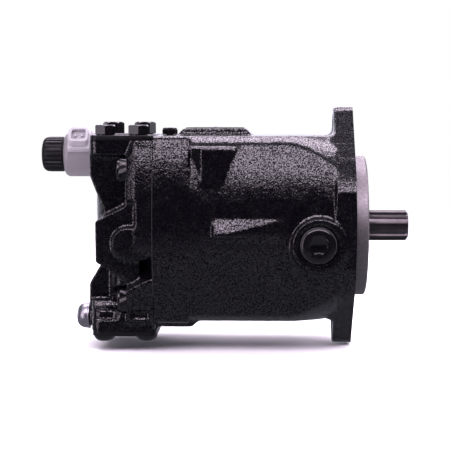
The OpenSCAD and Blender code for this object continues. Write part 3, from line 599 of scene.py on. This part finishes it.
def make_coil_can():
    """A drawn can with a rounded rear corner and a rolled groove near its front. Returns a point on its axis."""
    low, high = box_mm("solenoid_coil")
    axis = Vector((0, (low.y + high.y) / 2, (low.z + high.z) / 2))
    r = (high.y - low.y) / 2
    x, end = low.x, high.x
    fillet = 4.2
    corner = [(x + fillet - fillet * math.sin(t), r - fillet + fillet * math.cos(t))
              for t in (1.5, 1.2, 0.9, 0.6, 0.3, 0.0)]
    can = lathe("coil_can_drawn", [(x, 8.1), (x, 11.5), (x + 0.5, 11.9), (x + 0.02, 12.4)] + corner + [
        (end - 5.2, r), (end - 5.0, r - 0.25), (end - 4.6, r - 0.25), (end - 4.4, r),
        (end - 0.6, r), (end, r - 0.6), (end, 8.1)])
    can.data.transform(Matrix.Translation(axis * MM))
    stand_in(can, "case", "coil_can", "solenoid_coil")
    return axis


def make_coil_nut(axis):
    """A moulded nut with ribs round it that fade out over its domed end."""
    low, high = box_mm("solenoid_nut")
    r = (high.y - low.y) / 2
    length = high.x - low.x
    ribs, rib_depth = 24, 0.8
    dome, fall = 5, 4.4

    def ribbed(radius, depth):
        return lambda a: radius - depth * min(1.0, max(0.0, 0.55 - math.cos(ribs * a) * 0.9))

    rings = [(0, r - 1.6), (0.5, r - 0.9), (0.9, r - 0.9), (1.3, ribbed(r, 0.5))]
    rings += [(z, ribbed(r, rib_depth)) for z in (1.8, 3, length - 6)]
    for t in (0.25, 0.5, 0.75, 0.95):
        a = t * math.pi / 2
        rings.append((length - dome + dome * math.sin(a), ribbed(r - fall * (1 - math.cos(a)), rib_depth * (1 - t))))
    rings += [(length, r - 5.2), (length, 7.2), (length - 0.5, 6.8), (length - 0.5, 4.0), (length - 0.9, 3.6)]
    nut = place_on(loft(rings, ribs * 12), Vector((high.x, axis.y, axis.z)), (-1, 0, 0))
    stand_in(joined("ribbed_nut", [nut]), "case", "black_plastic", "solenoid_nut")


def make_cap():
    """The zinc cap behind the suction block: a pressed dome with a rolled edge."""
    low, high = box_mm("rear_cap_plug")
    r = (high.z - low.z) / 2
    shank = 9
    x = high.x - shank
    tall = x - low.x
    edge = [(0, r - 0.6), (0.25, r - 0.1), (0.8, r), (1.2, r - 0.15), (1.4, r - 0.5)]
    dome = [(max(tall * math.sin(t) * 0.98 + 0.1, 1.6), min(r * math.cos(t) ** 0.55, r - 0.45))
            for t in (0.25, 0.5, 0.75, 1.0, 1.2, 1.4, 1.52)]
    rings = shank_rings(3.9, shank) + edge + dome + [(tall, 0.6)]
    cap = place_on(loft(rings), Vector((x, (low.y + high.y) / 2, (low.z + high.z) / 2)), (-1, 0, 0))
    stand_in(joined("rear_cap_pressed", [cap]), "case", "zinc", "rear_cap_plug")


def rounded_plate(w, h, radius, levels):
    """A plate round Z through (z, inset) levels, with rounded corners."""
    corner_steps = 6

    def rim(inset):
        points = []
        r = max(radius - inset, 0.25)
        x, y = w / 2 - inset - r, h / 2 - inset - r
        for cx, cy, start in ((1, 1, 0), (-1, 1, 1), (-1, -1, 2), (1, -1, 3)):
            for k in range(corner_steps + 1):
                a = (start + k / corner_steps) * math.pi / 2
                points.append((cx * x + r * math.cos(a), cy * y + r * math.sin(a)))
        return points

    bm = bmesh.new()
    loops = [[bm.verts.new((x, y, z)) for x, y in rim(inset)] for z, inset in levels]
    for one, two in zip(loops, loops[1:]):
        ring_faces(bm, one, two)
    bm.faces.new(loops[0][::-1])
    bm.faces.new(loops[-1])
    return bm


def make_name_plate():
    """A blank plate: a raised border, empty fields and two domed rivets, with nothing written on it."""
    low, high = box_mm("name_plate")
    middle = (low + high) / 2
    plate = rounded_plate(42, 28, 2, [(0, 0), (0.4, 0), (0.5, 0.12), (0.5, 0.9), (0.36, 1.05)])
    drawn = [(plate, 0, 0)]
    for x, y, w, h in ((-9, 4.5, 17, 5), (9, 4.5, 15, 5), (-9, -3.5, 17, 5), (9, -3.5, 15, 5)):
        drawn.append((rounded_plate(w, h, 0.6, [(0.3, 0), (0.46, 0), (0.5, 0.06), (0.5, 0.3), (0.4, 0.36)]), x, y))
    dome = [(0.3, 2.0)] + [(0.36 + 0.62 * math.sin(t), 2.0 * math.cos(t)) for t in (0.1, 0.4, 0.7, 1.0, 1.3)]
    for y in (-11, 11):
        drawn.append((loft(dome, 32), 0, y))
    parts = [place_on(bm, Vector((middle.x + x, middle.y + y, low.z)), (0, 0, 1)) for bm, x, y in drawn]
    stand_in(joined("blank_name_plate", parts), "case", "plate_black", "name_plate")


def make_springs():
    """The two springs whose length changes, as fixed copies of their CAD coils."""
    for node, left, right in (("bias_spring", "case", "bias"), ("valve_spring", "spool", "case")):
        bm = welded(node)
        bmesh.ops.scale(bm, vec=(MM, MM, MM), verts=bm.verts)
        coils = new_object(node + "_coils", bm)
        finish(coils, "spring_steel")
        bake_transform(coils)
        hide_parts(node)


make_screws()
make_drain_plug()
make_coil_nut(make_coil_can())
make_cap()
make_name_plate()
make_springs()


# ---------------------------------------------------------------- carried-over CAD nodes

def soften(node, width, segments=2, angle=30):
    """Joins the node's split edges and rounds its sharp ones a little, by modifiers only."""
    obj = NODES[node]
    weld = obj.modifiers.new("weld", "WELD")
    weld.merge_threshold = WELD * MM
    thin = obj.modifiers.new("planar", "DECIMATE")
    thin.decimate_type = "DISSOLVE"
    thin.angle_limit = math.radians(0.6)
    bevel = obj.modifiers.new("edges", "BEVEL")
    bevel.width = width * MM
    bevel.segments = segments
    bevel.limit_method = "ANGLE"
    bevel.angle_limit = math.radians(angle)
    obj.data.polygons.foreach_set("use_smooth", [True] * len(obj.data.polygons))


for slot_name, members in SLOTS.items():
    for member in members:
        finish(NODES[member], slot_name)

for member, width in (
    ("b_port_cover", 0.5), ("s_port_cover", 0.5), ("control_valve_body", 0.8), ("drain_plug_seal", 0.3),
    ("solenoid_connector", 0.5), ("drive_shaft", 0.25), ("adjuster_locknut", 0.4), ("pressure_adjuster", 0.3),
):
    soften(member, width)


# ---------------------------------------------------------------- floor, light, camera

FLOOR_RADIUS = 1.25
FLOOR_GAP = 0.001
UNDER_SKY = (-0.1, 0.3, 0.0)
PUMP_MIDDLE = (-0.09, 0, 0.0)
LAMP_TINT = (0.97, 0.83, 1.0)
FOCAL_LENGTH = 100.7
CAMERA_EYE = (-0.0596, -0.9237, 0.0790)
CAMERA_TARGET = (-0.09265, 0, -0.0001)


def make_floor():
    """A pale flat disc just under the pump, which doesn't show in reflections."""
    bm = bmesh.new()
    bmesh.ops.create_circle(bm, cap_ends=True, segments=128, radius=FLOOR_RADIUS)
    bmesh.ops.translate(bm, vec=(-0.1, 0, CAD_BOX[0].z - FLOOR_GAP), verts=bm.verts)
    floor = new_object("floor", bm)
    s = Shader("floor_white", (0.88, 0.88, 0.89), 0.7)
    s.paint(s.mix(s.noise(400, 2.0), (0.87, 0.87, 0.88), (0.89, 0.89, 0.895)))
    floor.data.materials.append(s.mat)
    floor.visible_glossy = False


def make_world():
    """White to the camera. To the paint it is a dark studio with a bright backdrop behind the pump."""
    world = bpy.data.worlds.new("studio")
    bpy.context.scene.world = world
    world.use_nodes = True
    tree = world.node_tree
    tree.nodes.clear()
    out = tree.nodes.new("ShaderNodeOutputWorld")
    coords = tree.nodes.new("ShaderNodeTexCoord")
    split = tree.nodes.new("ShaderNodeSeparateXYZ")
    studio = tree.nodes.new("ShaderNodeBackground")
    white = tree.nodes.new("ShaderNodeBackground")
    path = tree.nodes.new("ShaderNodeLightPath")
    mix = tree.nodes.new("ShaderNodeMixShader")
    tree.links.new(coords.outputs["Generated"], split.inputs[0])

    def ramp(axis, stops):
        lift = tree.nodes.new("ShaderNodeMapRange")
        lift.inputs["From Min"].default_value = -1
        tree.links.new(split.outputs[axis], lift.inputs["Value"])
        made = tree.nodes.new("ShaderNodeValToRGB")
        tree.links.new(lift.outputs[0], made.inputs[0])
        elements = made.color_ramp.elements
        while len(elements) < len(stops):
            elements.new(0.5)
        for element, (at, level) in zip(elements, stops):
            element.position = (at + 1) / 2
            element.color = (level, level, level, 1)
        return made.outputs[0]

    def join(how, one, two):
        made = tree.nodes.new("ShaderNodeMath")
        made.operation = how
        tree.links.new(one, made.inputs[0])
        tree.links.new(two, made.inputs[1])
        return made.outputs[0]

    behind = ramp("Y", ((-1, 0.0), (-0.1, 0.02), (0.5, 1.0)))
    low_band = ramp("Z", ((-0.2, 0.0), (-0.05, 1.6), (0.16, 1.6), (0.4, 0.0)))
    room = ramp("Z", ((-0.6, 0.4), (-0.3, 0.42), (-0.1, 0.03), (0.35, 0.02), (0.75, 0.45)))
    level = join("ADD", join("MULTIPLY", behind, low_band), room)
    tree.links.new(level, studio.inputs["Strength"])
    studio.inputs["Color"].default_value = (0.86, 0.84, 1.0, 1)
    white.inputs["Color"].default_value = (1, 1, 1, 1)
    tree.links.new(path.outputs["Is Camera Ray"], mix.inputs[0])
    tree.links.new(studio.outputs[0], mix.inputs[1])
    tree.links.new(white.outputs[0], mix.inputs[2])
    tree.links.new(mix.outputs[0], out.inputs["Surface"])


def aim(obj, eye, target):
    """Puts a lamp or camera at eye, looking at target with its top upwards."""
    turn = (Vector(target) - Vector(eye)).to_track_quat("-Z", "Y").to_matrix()
    obj.matrix_world = Matrix.Translation(eye) @ turn.to_4x4()


def softbox(name, eye, target, width, height, power, tint=LAMP_TINT):
    """A rectangular lamp that the camera doesn't see."""
    data = bpy.data.lights.new(name, "AREA")
    data.shape = "RECTANGLE"
    data.size, data.size_y = width, height
    data.energy = power
    data.color = tint
    lamp = bpy.data.objects.new(name, data)
    bpy.context.scene.collection.objects.link(lamp)
    aim(lamp, eye, target)
    lamp.visible_camera = False
    return lamp


def make_lights():
    """Two wide ones overhead, of which the paint mirrors only the sky, and five small ones round the pump."""
    overhead = softbox("floor_light", (-0.1, 0.3, 2.6), UNDER_SKY, 4.6, 4.2, 110, (1, 1, 1))
    overhead.visible_glossy = False
    softbox("sky", (-0.1, 0.3, 2.59), UNDER_SKY, 4.6, 4.2, 25)
    softbox("key", (-0.06, -0.72, 0.70), PUMP_MIDDLE, 1.3, 0.52, 14)
    softbox("top", (-0.10, 0.32, 0.80), PUMP_MIDDLE, 1.0, 0.35, 10)
    softbox("back", (-0.10, 0.80, 0.50), PUMP_MIDDLE, 1.0, 0.4, 5)
    softbox("left", (-0.78, -0.60, 0.12), PUMP_MIDDLE, 0.4, 0.8, 3.2)
    softbox("right", (0.85, 0.0, 0.55), PUMP_MIDDLE, 0.8, 0.4, 7)


def make_camera():
    """The photograph's view."""
    data = bpy.data.cameras.new("camera")
    data.sensor_width = 36
    data.lens = FOCAL_LENGTH
    data.clip_start = 0.05
    camera = bpy.data.objects.new("camera", data)
    bpy.context.scene.collection.objects.link(camera)
    aim(camera, CAMERA_EYE, CAMERA_TARGET)
    bpy.context.scene.camera = camera


make_floor()
make_world()
make_lights()
make_camera()
bpy.context.scene.view_settings.view_transform = "Standard"
